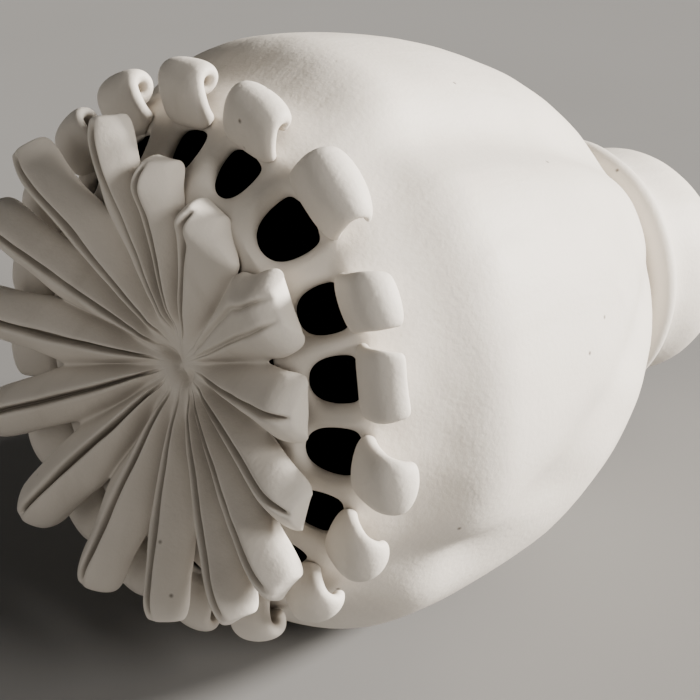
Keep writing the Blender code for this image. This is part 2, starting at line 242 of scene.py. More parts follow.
@dataclass(frozen=True)
class HeadPose:
    """How the head lies: its size in metres, its tilt and turn, and its flat spot.

    The lowest point of the outline is looked for among the angles of the underside.
    """

    radius: float = 0.065
    stem_down: float = 10.0
    turn: float = -10.0
    flat_depth: float = 0.0026
    underside: range = range(90, 150)

    def matrix(self, outline: BodyOutline) -> Matrix:
        """Lay the head down on its flat spot.

        Args:
            outline: The capsule's outline.

        Returns:
            The move from body radii to metres in the row's frame.
        """
        tilt = Matrix.Rotation(math.radians(self.stem_down), 4, "Y")
        places = []
        for a in self.underside:
            x, radius, _, _ = outline.meridian(math.radians(a))
            places.append(tilt @ at(x, radius, DOWN))
        lowest = min(places, key=lambda place: place.z)
        up = Matrix.Translation((-lowest.x, 0, -lowest.z - self.flat_depth / self.radius))
        turned = Matrix.Rotation(math.radians(self.turn), 4, "X")
        return Matrix.Scale(self.radius, 4) @ up @ tilt @ turned


@dataclass(frozen=True)
class Hand:
    """Unevenness left by the maker's hands, in body radii."""

    lump: float
    lump_size: float
    dent: float
    dent_size: float
    seed: float

    def offset(self, place: Vector) -> float:
        """Find how far the surface stands out.

        Args:
            place: A place on it, in body radii.

        Returns:
            The distance along its normal.
        """
        shift = Vector((self.seed, -self.seed, self.seed * 2))
        broad = noise.noise(place / self.lump_size + shift)
        fine = noise.noise(place / self.dent_size - shift)
        return self.lump * broad + self.dent * fine


class ClayPart(ABC):
    """A part of the head, drawn as a cage, smoothed, and finished by the maker's hands."""

    name: ClassVar[str]
    hand: Hand
    levels: int

    @abstractmethod
    def cage(self) -> Cage:
        """Return the closed cage of the part, in body radii."""

    def warp(self, place: Vector) -> Vector:
        """Return a place of the smooth surface as the part's own unevenness moves it."""
        return place

    def smooth(self) -> Object:
        """Subdivide the cage.

        Returns:
            The smooth part, still in body radii.
        """
        cage = self.cage()
        bmesh.ops.recalc_face_normals(cage, faces=cage.faces)
        if cage.calc_volume(signed=True) < 0:
            bmesh.ops.reverse_faces(cage, faces=cage.faces)
        data = bpy.data.meshes.new(self.name)
        cage.to_mesh(data)
        cage.free()
        obj = bpy.data.objects.new(self.name, data)
        bpy.context.scene.collection.objects.link(obj)
        modifier = obj.modifiers.new("smooth", "SUBSURF")
        modifier.levels = modifier.render_levels = self.levels
        graph = bpy.context.evaluated_depsgraph_get()
        fine = bpy.data.meshes.new_from_object(obj.evaluated_get(graph))
        obj.modifiers.clear()
        obj.data = fine
        bpy.data.meshes.remove(data)
        fine.name = self.name
        return obj

    def build(self, pose: Matrix) -> Object:
        """Shape the part and lay it down, with nothing under the floor.

        Args:
            pose: The move from body radii to metres.

        Returns:
            The finished part, in metres.
        """
        obj = self.smooth()
        vertices = obj.data.vertices
        normals = [vert.normal.copy() for vert in vertices]
        for vert, normal in zip(vertices, normals):
            place = self.warp(vert.co.copy())
            place += normal * self.hand.offset(place)
            place = pose @ place
            place.z = max(place.z, 0.0)
            vert.co = place
        obj.data.update()
        obj.data.shade_smooth()
        return obj

    def dress(self, obj: Object, clay: Material) -> None:
        """Give the part its only material."""
        obj.data.materials.clear()
        obj.data.materials.append(clay)


@dataclass(frozen=True)
class Flap:
    """One valve flap: the tongue of wall that stands behind a pore and curls back.

    Widths and lengths are in body radii and turns in degrees. A positive cup makes the face
    towards the pore convex, and a positive sway carries the tip to smaller angles. The values
    after curl_radius are the same for every flap.
    """

    half_width: float
    height: float
    lean: float
    curl: float
    cup: float = 0.10
    sway: float = 0.0
    twist: float = 0.0
    tip: float = 0.82
    curl_radius: float = 0.042

    shaft: float = 0.200
    shaft_steps: int = 5
    root_heading: float = 78.0
    aim: float = 120.0
    curl_step: float = 28.0
    curl_opening: float = 1.1
    tightening: float = 0.30
    tightening_steps: int = 8
    thickness: float = 0.064
    taper: float = 0.20
    edge_thinning: float = 0.34
    edge_power: int = 4
    neck: float = -0.08
    neck_end: float = 0.40
    tip_start: float = 0.62
    cup_level: float = 0.35
    cup_growth: float = 1.5

    def path(self) -> list[Triple]:
        """Follow the middle of the flap from its root to the end of its curl.

        Returns:
            Distance rearwards and outwards, and heading in radians, at each step.
        """
        aim = self.aim + self.lean
        step = self.shaft * self.height / self.shaft_steps
        moves = []
        for i in range(self.shaft_steps):
            ease = math.sin((i + 1) / self.shaft_steps * math.pi / 2)
            moves.append((self.root_heading + (aim - self.root_heading) * ease, step))
        turns = max(2, round(self.curl / self.curl_step))
        for i in range(turns):
            tighter = self.tightening * min(1.0, i / self.tightening_steps)
            radius = self.curl_radius * (self.curl_opening - tighter)
            heading = aim + self.curl * (i + 1) / turns
            moves.append((heading, radius * math.radians(self.curl / turns)))
        rear, out, before = 0.0, 0.0, self.root_heading
        places = []
        for heading, length in moves:
            middle = math.radians((before + heading) / 2)
            rear -= length * math.cos(middle)
            out += length * math.sin(middle)
            places.append((rear, out, math.radians(heading)))
            before = heading
        return places

    def width(self, share: float) -> float:
        """Find how wide the flap is.

        Args:
            share: Share of its length.

        Returns:
            Half its width there.
        """
        waist = 1 - self.neck * max(0.0, 1 - share / self.neck_end)
        end = 1 - (1 - self.tip) * smoothstep(share, self.tip_start, 1.0)
        return self.half_width * waist * end

    def depth(self, share: float, across: float) -> float:
        """Return the thickness at a share of the length and a place across, from -1 to 1."""
        edge = 1 - self.edge_thinning * across**self.edge_power
        return self.thickness * (1 - self.taper * share) * edge

    def bow(self, share: float, across: float) -> float:
        """Return how far the cup moves a place rearwards."""
        grown = min(1.0, self.cup_growth * share)
        return self.cup * self.half_width * (across**2 - self.cup_level) * grown


@dataclass(frozen=True)
class Pore:
    """One pore and the flap behind it."""

    angle: float
    half_width: float
    half_length: float
    flap: Flap


PORES = (
    Pore(110.0, 0.072, 0.086, Flap(0.096, 0.72, 8.0, 310.0, 0.10, -0.025)),
    Pore(89.0, 0.074, 0.092, Flap(0.100, 0.80, 8.0, 300.0, 0.10, -0.03)),
    Pore(69.0, 0.082, 0.094, Flap(0.110, 0.68, 12.0, 240.0, 0.10, -0.02, 4.0, 0.92)),
    Pore(47.0, 0.102, 0.108, Flap(0.128, 0.74, 4.0, 200.0, 0.14, 0.05, 8.0, 0.94, 0.050)),
    Pore(24.5, 0.078, 0.086, Flap(0.090, 0.76, 0.0, 130.0, 0.10, 0.04, 2.0, 0.92, 0.053)),
    Pore(7.0, 0.078, 0.092, Flap(0.112, 0.62, 0.0, 110.0, -0.10, 0.00, 0.0, 0.86, 0.050)),
    Pore(-11.5, 0.080, 0.094, Flap(0.092, 0.82, 2.0, 130.0, 0.18, 0.01, 4.0, 0.96, 0.053)),
    Pore(-30.5, 0.076, 0.090, Flap(0.088, 0.68, 4.0, 150.0, 0.22, 0.00, 0.0, 0.90, 0.048)),
    Pore(-50.5, 0.074, 0.086, Flap(0.088, 0.60, 6.0, 180.0, 0.16, -0.02)),
    Pore(-70.5, 0.074, 0.084, Flap(0.090, 0.60, 8.0, 220.0)),
    Pore(-90.5, 0.076, 0.084, Flap(0.096, 0.64, 8.0, 200.0, 0.12, 0.02)),
    Pore(-111.5, 0.078, 0.086, Flap(0.098, 0.70, 6.0, 180.0, 0.14)),
    Pore(-131.5, 0.074, 0.084, Flap(0.092, 0.76, 8.0, 240.0, 0.10, -0.02)),
    Pore(-151.0, 0.076, 0.088, Flap(0.096, 0.80, 4.0, 170.0, 0.16, 0.0, 0.0, 0.90, 0.050)),
    Pore(-171.5, 0.078, 0.086, Flap(0.098, 0.78, 6.0, 200.0, 0.08, 0.02)),
    Pore(-190.5, 0.074, 0.084, Flap(0.092, 0.74, 8.0, 230.0, 0.12)),
    Pore(-210.0, 0.076, 0.086, Flap(0.094, 0.74, 4.0, 190.0, 0.16, -0.02, 0.0, 0.88, 0.050)),
    Pore(-229.5, 0.074, 0.084, Flap(0.090, 0.72, 8.0, 250.0)),
)


class Layer(Enum):
    """The two faces of the capsule's wall."""

    OUTER = 0
    INNER = 1


class Edge(Enum):
    """The rows of the capsule's cage that are not plain rows of its wall."""

    RIM = "rim of the mouth"
    ROOF = "outer border of the mouth's flat ring"
    REAR = "border of the plate at the rear"
    PORE = "edge of a pore"
    THROAT = "narrowest place in a pore"


Row = Union[int, Edge, tuple[Edge, int]]
Spot = tuple[Row, int]


@dataclass
class Capsule(ClayPart):
    """The hollow lobed body, its ring of pores and its curled flaps, grown as one.

    Sizes are in body radii, and the rows of the wall in degrees from the front pole. The
    first and the last row of the band of pores are whole. Between them each pore is a ring.
    """

    name: ClassVar[str] = "capsule_clay"
    outline: BodyOutline
    pores: tuple[Pore, ...] = PORES
    segments: int = 4
    band_start: float = 36.1
    band_end: float = 52.5
    front_rows: tuple[float, ...] = (58, 64, 70, 76, 82.5)
    rear_rows: tuple[float, ...] = (90, 100, 110, 120, 129, 138, 146, 153)
    roof_x: float = -0.520
    mouth_r: float = 0.50
    roof_r: float = 0.56
    front_roundness: float = 2.2
    rear_squareness: float = 3.2
    root_flare: float = 1.14
    inner_root_flare: float = 1.10
    pore_flare: float = 0.20
    rim_flare: float = 1.22
    throat_size: float = 0.84
    throat_depth: float = 0.44
    throat_inside: float = 0.16
    web: Triple = (0.020, 0.026, 0.008)
    rear_x: float = 1.43
    rear_r: float = 0.42
    hand: Hand = Hand(0.0075, 0.38, 0.0022, 0.11, 3.0)
    levels: int = 2
    mesh: Cage = field(init=False, repr=False)
    inside: Carried = field(init=False, repr=False)
    points: dict[tuple, Corner] = field(init=False, repr=False)

    def rows(self) -> list[float]:
        """List the rows of the wall.

        Returns:
            The angle of each from the front pole, in radians.
        """
        step = (self.band_end - self.band_start) / self.segments
        band = [self.band_start + step * i for i in range(self.segments + 1)]
        return [math.radians(a) for a in (*band, *self.front_rows, *self.rear_rows)]

    def columns(self) -> list[float]:
        """List the columns of the wall.

        Returns:
            The angle of each round the axis, in degrees.
        """
        return [
            start + (end - start) * i / self.segments
            for start, end in sectors([pore.angle for pore in self.pores])
            for i in range(self.segments)
        ]

    def around(self) -> int:
        """Return how many columns the wall has."""
        return len(self.pores) * self.segments

    def ring(self) -> list[Pair]:
        """Walk round the border of a pore's share of the wall.

        Returns:
            Points on the border of a square from -1 to 1, in order round it.
        """
        steps = [2 * i / self.segments - 1 for i in range(self.segments)]
        sides = [(s, -1.0) for s in steps] + [(1.0, s) for s in steps]
        return sides + [(-s, 1.0) for s in steps] + [(-1.0, -s) for s in steps]

    def cage(self) -> Cage:
        """Draw the whole capsule.

        Returns:
            Its closed cage, which carries how far inside each vertex lies.
        """
        self.mesh = bmesh.new()
        self.inside = self.mesh.verts.layers.float.new(Mask.INSIDE.value)
        self.points = {}
        for layer in Layer:
            self.add_wall(layer)
            self.add_ends(layer)
            for index, pore in enumerate(self.pores):
                self.add_pore(layer, index, pore)
        self.add_edges()
        for index, pore in enumerate(self.pores):
            self.add_flap(index, pore)
        loose = [vert for vert in self.mesh.verts if not vert.link_faces]
        bmesh.ops.delete(self.mesh, geom=loose, context="VERTS")
        return self.mesh

    def place(self, layer: Layer, row: Row, column: int, point: Vector) -> None:
        """Add a vertex and remember it.

        Args:
            layer: Its layer of the wall.
            row: Its row.
            column: Its number in the row.
            point: Where it lies.
        """
        vert = self.mesh.verts.new(point)
        # The inner layer carries 1, and the finish paints it near black as painted shade.
        vert[self.inside] = float(layer.value)
        self.points[layer, row, column] = vert

    def quad(self, layer: Layer, corners: Sequence[Spot]) -> None:
        """Add a face from four rows and columns of a layer."""
        self.mesh.faces.new([self.points[(layer, *corner)] for corner in corners])

    def depth(self, layer: Layer) -> float:
        """Return how deep a layer lies in the wall."""
        return self.outline.wall * layer.value

    def web_height(self, row: int, column: int) -> float:
        """Find how far the web behind a flap's root lifts the wall.

        Args:
            row: Number of the row.
            column: Number of the column.

        Returns:
            Its height, which is greatest in the middle of a pore's share of the wall.
        """
        step = row - self.segments + 1
        if not 0 < step < len(self.web):
            return 0.0
        middle = 1 - abs(2 * (column % self.segments) / self.segments - 1)
        return self.web[step] * middle

    def add_wall(self, layer: Layer) -> None:
        """Add the rows of the wall, leaving the band of pores open.

        Args:
            layer: Layer of the wall.
        """
        rows = self.rows()
        columns = self.columns()
        for row, a in enumerate(rows):
            for column, degrees in enumerate(columns):
                if 0 < row < self.segments and column % self.segments:
                    continue
                depth = self.depth(layer)
                if layer is Layer.OUTER:
                    depth -= self.web_height(row, column)
                self.place(layer, row, column, self.outline.wall_point(a, degrees, depth))
        for row in range(self.segments, len(rows) - 1):
            for column in range(len(columns)):
                beside = (column + 1) % len(columns)
                corners = [(row, column), (row, beside), (row + 1, beside), (row + 1, column)]
                self.quad(layer, corners)

    def add_ends(self, layer: Layer) -> None:
        """Add the flat ring round the mouth and the plate at the rear.

        Args:
            layer: Layer of the wall.
        """
        depth = self.depth(layer)
        count = self.around()
        last = len(self.rows()) - 1
        front = self.roof_x + depth
        for column, degrees in enumerate(self.columns()):
            self.place(layer, Edge.RIM, column, at(front, self.mouth_r, degrees))
            self.place(layer, Edge.ROOF, column, at(front, self.roof_r, degrees))
            rear = at(self.rear_x - depth, self.rear_r - depth, degrees)
            self.place(layer, Edge.REAR, column, rear)
        for column in range(count):
            beside = (column + 1) % count
            for near, far in ((Edge.RIM, Edge.ROOF), (Edge.ROOF, 0), (last, Edge.REAR)):
                corners = [(near, column), (near, beside), (far, beside), (far, column)]
                self.quad(layer, corners)
        self.mesh.faces.new([self.points[layer, Edge.REAR, c] for c in range(count)])

    def reach(self) -> float:
        """Measure the band of pores.

        Returns:
            The length of wall for each radian of it.
        """
        start, end = math.radians(self.band_start), math.radians(self.band_end)
        span = math.dist(self.outline.meridian(start)[:2], self.outline.meridian(end)[:2])
        return span / (end - start)

    def middle(self) -> float:
        """Return the angle from the front pole of the pores' middles, in radians."""
        return math.radians((self.band_start + self.band_end) / 2)

    def edge_point(
        self, pore: Pore, x: float, y: float, size: float, depth: float, flare: float = 1.0
    ) -> Vector:
        """Find a point of a pore's edge.

        Args:
            pore: The pore.
            x: Place across the pore, from -1 to 1, on the border of a square.
            y: Place along the pore, from -1 at its front to 1 at its flap.
            size: How large the edge is there, against the pore.
            depth: Depth in the wall, as a share of its thickness.
            flare: How much wider its rear edge is.

        Returns:
            The point, in body radii.
        """
        power = self.rear_squareness if y > 0 else self.front_roundness
        length = (abs(x) ** power + abs(y) ** power) ** (1 / power)
        spread = flare if y == 1 else 1.0
        radius = self.outline.meridian(self.middle())[1]
        a = self.middle() + y / length * size * pore.half_length / self.reach()
        turn = math.degrees(x / length * size * spread * pore.half_width / radius)
        return self.outline.wall_point(a, pore.angle - turn, self.outline.wall * depth)

    def add_pore(self, layer: Layer, index: int, pore: Pore) -> None:
        """Add the ring of a pore's edge, its throat, and the faces round it.

        Args:
            layer: Layer of the wall.
            index: The pore's number.
            pore: The pore.
        """
        border = []
        edge, throat = (Edge.PORE, index), (Edge.THROAT, index)
        for i, (x, y) in enumerate(self.ring()):
            if layer is Layer.OUTER:
                size, depth, flare = self.rim_flare, 0.0, self.root_flare
                if y == 1:
                    depth = -self.web[0] / self.outline.wall
                narrow = self.edge_point(pore, x, y, self.throat_size, self.throat_depth)
                self.place(layer, throat, i, narrow)
                # The throat carries a little of the painted shade that darkens the inner wall.
                self.points[layer, throat, i][self.inside] = self.throat_inside
            else:
                size, depth, flare = 1 + self.pore_flare, 1.0, self.inner_root_flare
            self.place(layer, edge, i, self.edge_point(pore, x, y, size, depth, flare))
            column = index * self.segments + round((x + 1) * self.segments / 2)
            border.append((round((y + 1) * self.segments / 2), column % self.around()))
        for i, corner in enumerate(border):
            j = (i + 1) % len(border)
            self.quad(layer, [corner, border[j], (edge, j), (edge, i)])

    def add_edges(self) -> None:
        """Add the rim of the mouth and each pore's edge, but where its flap stands."""
        outer, inner = Layer.OUTER, Layer.INNER
        for column in range(self.around()):
            beside = (column + 1) % self.around()
            corners = [(outer, beside), (outer, column), (inner, column), (inner, beside)]
            self.mesh.faces.new([self.points[layer, Edge.RIM, c] for layer, c in corners])
        size = 4 * self.segments
        for index in range(len(self.pores)):
            edge, throat = (Edge.PORE, index), (Edge.THROAT, index)
            rings = ((outer, edge), (outer, throat), (inner, edge))
            for i in range(size):
                if 2 * self.segments <= i < 3 * self.segments:
                    continue
                j = (i + 1) % size
                for near, far in zip(rings, rings[1:]):
                    corners = [(*near, i), (*near, j), (*far, j), (*far, i)]
                    self.mesh.faces.new([self.points[corner] for corner in corners])

    def flap_section(
        self, flap: Flap, share: float, centre: Vector, side: Vector, face: Vector
    ) -> list[list[Corner]]:
        """Add the vertices across a flap.

        Args:
            flap: The flap.
            share: Share of its length.
            centre: Its middle there.
            side: Direction across it.
            face: Direction out of the face towards the pore.

        Returns:
            The row of vertices of that face, and of the face behind it.
        """
        section = []
        for sign in (1, -1):
            row = []
            for i in range(self.segments + 1):
                across = 1 - 2 * i / self.segments
                place = centre - side * (flap.width(share) * across)
                thick = sign * flap.depth(share, across) / 2
                place += face * (thick + flap.bow(share, across))
                row.append(self.mesh.verts.new(place))
            section.append(row)
        return section

    def add_flap(self, index: int, pore: Pore) -> None:
        """Add the flap that grows out of the rear edge of a pore.

        Args:
            index: The pore's number.
            pore: The pore.
        """
        flap = pore.flap
        a = self.middle() + pore.half_length / self.reach()
        rearwards, outwards, along = self.outline.axes(a, pore.angle)
        root = self.outline.wall_point(a, pore.angle, self.outline.wall / 2)
        size = 4 * self.segments
        ids = [i % size for i in range(2 * self.segments, 3 * self.segments + 1)]
        outer = [self.points[Layer.OUTER, (Edge.PORE, index), i] for i in ids]
        inner = [self.points[Layer.INNER, (Edge.PORE, index), i] for i in ids]
        throat = [self.points[Layer.OUTER, (Edge.THROAT, index), i] for i in ids]
        face_of = self.mesh.faces.new
        path = flap.path()
        for step, (rear, out, heading) in enumerate(path):
            share = (step + 1) / len(path)
            face = outwards * math.cos(heading) + rearwards * math.sin(heading)
            turn = math.radians(flap.twist) * share
            side = along * math.cos(turn) + face * math.sin(turn)
            centre = root + rearwards * rear + outwards * out + along * (flap.sway * share)
            front, back = self.flap_section(flap, share, centre, side, face)
            for i in range(self.segments):
                face_of([outer[i], front[i], front[i + 1], outer[i + 1]])
                face_of([inner[i + 1], back[i + 1], back[i], inner[i]])
            first = [throat[0]] if step == 0 else []
            last = [throat[-1]] if step == 0 else []
            face_of([outer[0], *first, inner[0], back[0], front[0]])
            face_of([outer[-1], front[-1], back[-1], inner[-1], *last])
            outer, inner = front, back
        for i in range(self.segments):
            face_of([outer[i], inner[i], inner[i + 1], outer[i + 1]])


@dataclass(frozen=True)
class Ray:
    """One ray of the stigma disc.

    Its angle and sway are in degrees, its widths and heights in body radii, and the places of
    its grooves in half widths. A cut of 1 makes them as deep as they come.
    """

    angle: float
    half_width: float
    tip: float
    lift: float = 0.0
    roll: float = 0.01
    grooves: tuple[float, ...] = (0.0,)
    sway: float = 0.0
    cut: float = 1.0
    taper: float = 0.42
    thick: float = 0.0


RAYS = (
    Ray(99.0, 0.074, 0.800, 0.02, 0.03, (0.0,), 1.0, 1.0, 0.60, 0.01),
    Ray(86.0, 0.064, 0.685, 0.03, 0.05, (-0.05,), -2.0, 1.0, 0.90, 0.03),
    Ray(65.0, 0.066, 0.620, 0.03, 0.04, (-0.08,), -2.0, 1.0, 0.90, 0.03),
    Ray(26.0, 0.130, 0.695, 0.00, 0.04, (-0.36, 0.24), 2.0, 0.35),
    Ray(1.5, 0.104, 0.668, 0.00, 0.04, (0.10,), -1.0, 0.8),
    Ray(-21.0, 0.094, 0.755, 0.00, 0.03, (-0.08,), -2.0),
    Ray(-39.5, 0.084, 0.840, 0.00, 0.02, (0.08,), 0.5),
    Ray(-58.5, 0.094, 0.820, 0.00, 0.01, (-0.05,), 1.5),
    Ray(-82.5, 0.088, 0.800, 0.00, 0.01, (0.06,), -1.5),
    Ray(-110.0, 0.094, 0.820, 0.00, 0.01, (0.0,), 1.0),
    Ray(-136.5, 0.094, 0.860, 0.00, 0.01, (-0.06,), 2.5),
    Ray(-158.0, 0.090, 0.870, 0.01, 0.02, (0.05,), -1.0),
    Ray(-182.5, 0.090, 0.860, 0.00, 0.02, (-0.04,), -2.0),
    Ray(-208.5, 0.094, 0.860, 0.00, 0.02, (0.06,), 1.0),
    Ray(-231.0, 0.088, 0.845, 0.01, 0.03, (0.0,), 2.0),
)


@dataclass
class StigmaDisc(ClayPart):
    """The dished crown of grooved rays, grown together at its hub.

    Sizes are in body radii. Places across a ray, such as edge_column, run from -1 to 1, and
    places along it, such as tip_start, are shares of its free length.
    """

    name: ClassVar[str] = "stigma_disc_clay"
    rays: tuple[Ray, ...] = RAYS
    hub_x: float = -0.446
    dish_depth: float = 0.235
    dish_radius: float = 0.79
    dish_power: float = 1.1
    notch_r: float = 0.50
    hub_rows: tuple[float, ...] = (0.05, 0.11, 0.18, 0.26, 0.34, 0.43)
    ray_rows: tuple[float, ...] = (0.14, 0.32, 0.52, 0.72, 0.86, 0.95, 1.0)
    underside_x: float = -0.5255
    hub_thickness: float = 0.085
    hollow_radii: Pair = (0.12, 0.47)
    skirt_drop: float = 0.05
    skirt_radii: Pair = (0.5, 0.8)
    edge_column: float = 0.86
    edge_columns: int = 2
    shoulder: float = 0.058
    shoulder_start: float = 0.66
    crown: float = 0.030
    groove_depth: float = 0.070
    groove_columns: int = 5
    groove_end: Pair = (0.74, 0.97)
    groove_fill: float = 0.010
    groove_field: float = 0.8
    slit_near: float = 0.009
    slit_far: float = 0.024
    slit_near_most: float = 0.16
    slit_far_most: float = 0.34
    slit_rows: tuple[int, int] = (2, -2)
    roll_start: float = 0.45
    thick_start: float = 0.5
    tip_start: float = 0.62
    tip_width: float = 0.62
    tip_bluntness: float = 0.93
    tip_squareness: float = 2.8
    tip_top_drop: float = 0.034
    tip_bottom_rise: float = 0.026
    hub_fade: Pair = (0.10, 0.22)
    crease_fade: Pair = (0.11, 0.32)
    wobble: float = 0.010
    wobble_size: float = 0.24
    wobble_fade: Pair = (0.05, 0.4)
    hub_rough: float = 0.020
    hub_rough_size: float = 0.075
    hub_rough_fade: Pair = (0.08, 0.24)
    noise_shifts: Triple = (5.1, 9.7, 7.7)
    cracks: tuple[tuple[Pair, Pair], ...] = (
        ((-0.080, 0.042), (-0.020, 0.010)),
        ((-0.020, 0.010), (0.024, -0.056)),
        ((0.024, -0.056), (0.075, -0.015)),
    )
    crack_width: float = 0.014
    crack_depth: float = 0.022
    hand: Hand = Hand(0.004, 0.22, 0.0018, 0.07, 11.0)
    levels: int = 2
    mesh: Cage = field(init=False, repr=False)
    slit: Carried = field(init=False, repr=False)
    shared: dict[tuple, Corner] = field(init=False, repr=False)

    def top(self, radius: float) -> float:
        """Return where the upper face lies at a radius."""
        share = (radius / self.dish_radius) ** self.dish_power
        return self.hub_x - self.dish_depth * share

    def underside(self, radius: float) -> float:
        """Find the lower face.

        Args:
            radius: Distance from the axis.

        Returns:
            Its place along the axis: hollow at the hub, and lower under the rays' tips.
        """
        hub = self.hub_x + self.hub_thickness
        sunk = 1 - smoothstep(radius, *self.hollow_radii)
        flat = self.underside_x + (hub - self.underside_x) * sunk
        return flat - self.skirt_drop * smoothstep(radius, *self.skirt_radii)

    def columns(self, ray: Ray, half: float) -> list[float]:
        """List the columns of a ray, which are close together at its slits.

        Args:
            ray: The ray.
            half: Half its width here.

        Returns:
            Their places across it.
        """
        near = min(self.slit_near / half, self.slit_near_most)
        far = min(self.slit_far / half, self.slit_far_most)
        found = [-1.0, -self.edge_column]
        for groove in ray.grooves:
            found += [groove - far, groove - near, groove, groove + near, groove + far]
        return sorted([*found, self.edge_column, 1.0])

    def slit_columns(self, ray: Ray) -> list[int]:
        """Return the numbers of the columns that run along a ray's slits."""
        first = self.edge_columns + self.groove_columns // 2
        return [first + self.groove_columns * i for i in range(len(ray.grooves))]

    def relief(self, ray: Ray, column: float, half: float) -> float:
        """Find the rounded and slit shape of a ray's upper face.

        Args:
            ray: The ray.
            column: Place across it.
            half: Half its width here.

        Returns:
            How deep the face lies there.
        """
        shoulder = self.shoulder * smoothstep(abs(column), self.shoulder_start, 1.0)
        crown = -self.crown * (1 - abs(column) ** 2)
        near = min(self.slit_near / half, self.slit_near_most)
        slit = 0.0
        for groove in ray.grooves:
            open_share = 1 - min(1.0, abs(column - groove) / near)
            slit = max(slit, self.groove_depth * ray.cut * open_share)
        return shoulder + crown + slit

    def hub_section(self, ray: Ray, edges: Pair, radius: float) -> Sections:
        """Draw a ray's share of the hub.

        Args:
            ray: The ray.
            edges: Angles at which its share starts and ends.
            radius: Distance from the axis.

        Returns:
            The upper and lower points across it.
        """
        start = smoothstep(radius, *self.hub_fade)
        crease = smoothstep(radius, *self.crease_fade)
        half = radius * math.radians(edges[0] - edges[1]) / 2
        bend = ray.sway * radius
        top, bottom = [], []
        for column in self.columns(ray, half):
            edge = edges[0] if column < 0 else edges[1]
            degrees = ray.angle + abs(column) * (edge - ray.angle)
            relief = self.relief(ray, column, half) * start
            if abs(column) == 1:
                relief *= crease
            else:
                degrees += bend
            top.append(at(self.top(radius) + relief, radius, degrees))
            bottom.append(at(self.underside(radius), radius, degrees))
        return top, bottom

    def ray_section(self, ray: Ray, edges: Pair, share: float) -> Sections:
        """Draw a ray where it stands free of the hub.

        Args:
            ray: The ray.
            edges: Angles at which its share of the hub starts and ends.
            share: Share of its free length.

        Returns:
            The upper and lower points across it.
        """
        radius = self.notch_r + (ray.tip - self.notch_r) * share
        end = max(0.0, (share - self.tip_start) / (1 - self.tip_start))
        full = math.sqrt(max(0.0, 1 - self.tip_bluntness * end**self.tip_squareness))
        half = ray.half_width * (self.tip_width + (1 - self.tip_width) * full)
        back = ray.lift * share - ray.roll * smoothstep(share, self.roll_start, 1.0)
        sides = [
            math.tan(math.radians(abs(edge - ray.angle))) * self.notch_r for edge in edges
        ]
        open_up = smoothstep(share, 0.0, ray.taper)
        turned = ray.angle + ray.sway * radius
        forward, aside = at(0, 1, turned), at(0, 1, turned + 90)
        grooved = 1 - smoothstep(share, *self.groove_end)
        top, bottom = [], []
        for column in self.columns(ray, half):
            number = 0 if column < 0 else 1
            if share == 0.0 and abs(column) == 1:
                place = at(0, self.notch_r, edges[number])
            else:
                across = -column * (sides[number] + (half - sides[number]) * open_up)
                place = forward * radius + aside * across
            relief = self.relief(ray, column, half)
            if abs(column) < self.groove_field:
                relief = relief * grooved - self.groove_fill * (1 - grooved)
            x = self.top(radius) - back + relief + self.tip_top_drop * (1 - full)
            x_low = self.underside(radius) - back - self.tip_bottom_rise * (1 - full)
            x_low += ray.thick * smoothstep(share, 0.0, self.thick_start)
            top.append(Vector((x, place.y, place.z)))
            bottom.append(Vector((x_low, place.y, place.z)))
        return top, bottom

    def cage(self) -> Cage:
        """Draw the whole disc.

        Returns:
            Its closed cage, which carries how deep each vertex lies in a slit.
        """
        self.mesh = bmesh.new()
        self.slit = self.mesh.verts.layers.float.new(Mask.SLIT.value)
        self.shared = {}
        centre = [
            self.mesh.verts.new((self.top(0), 0, 0)),
            self.mesh.verts.new((self.underside(0), 0, 0)),
        ]
        shares = sectors([ray.angle for ray in self.rays])
        for index, (ray, edges) in enumerate(zip(self.rays, shares)):
            self.add_ray(index, ray, edges, centre)
        return self.mesh

    def row_points(self, sections: Sections, row: float, index: int) -> list[list[Corner]]:
        """Add a row of the hub, sharing its first and last vertices with the rays beside.

        Args:
            sections: The upper and lower points of the row.
            row: The row's radius.
            index: The ray's number.

        Returns:
            The upper and lower vertices.
        """
        rows = []
        for layer, places in enumerate(sections):
            verts = []
            for i, place in enumerate(places):
                key = (layer, row, index, i)
                if i == 0:
                    key = (layer, row, "edge", index)
                elif i == len(places) - 1:
                    key = (layer, row, "edge", (index + 1) % len(self.rays))
                if key not in self.shared:
                    self.shared[key] = self.mesh.verts.new(place)
                verts.append(self.shared[key])
            rows.append(verts)
        return rows

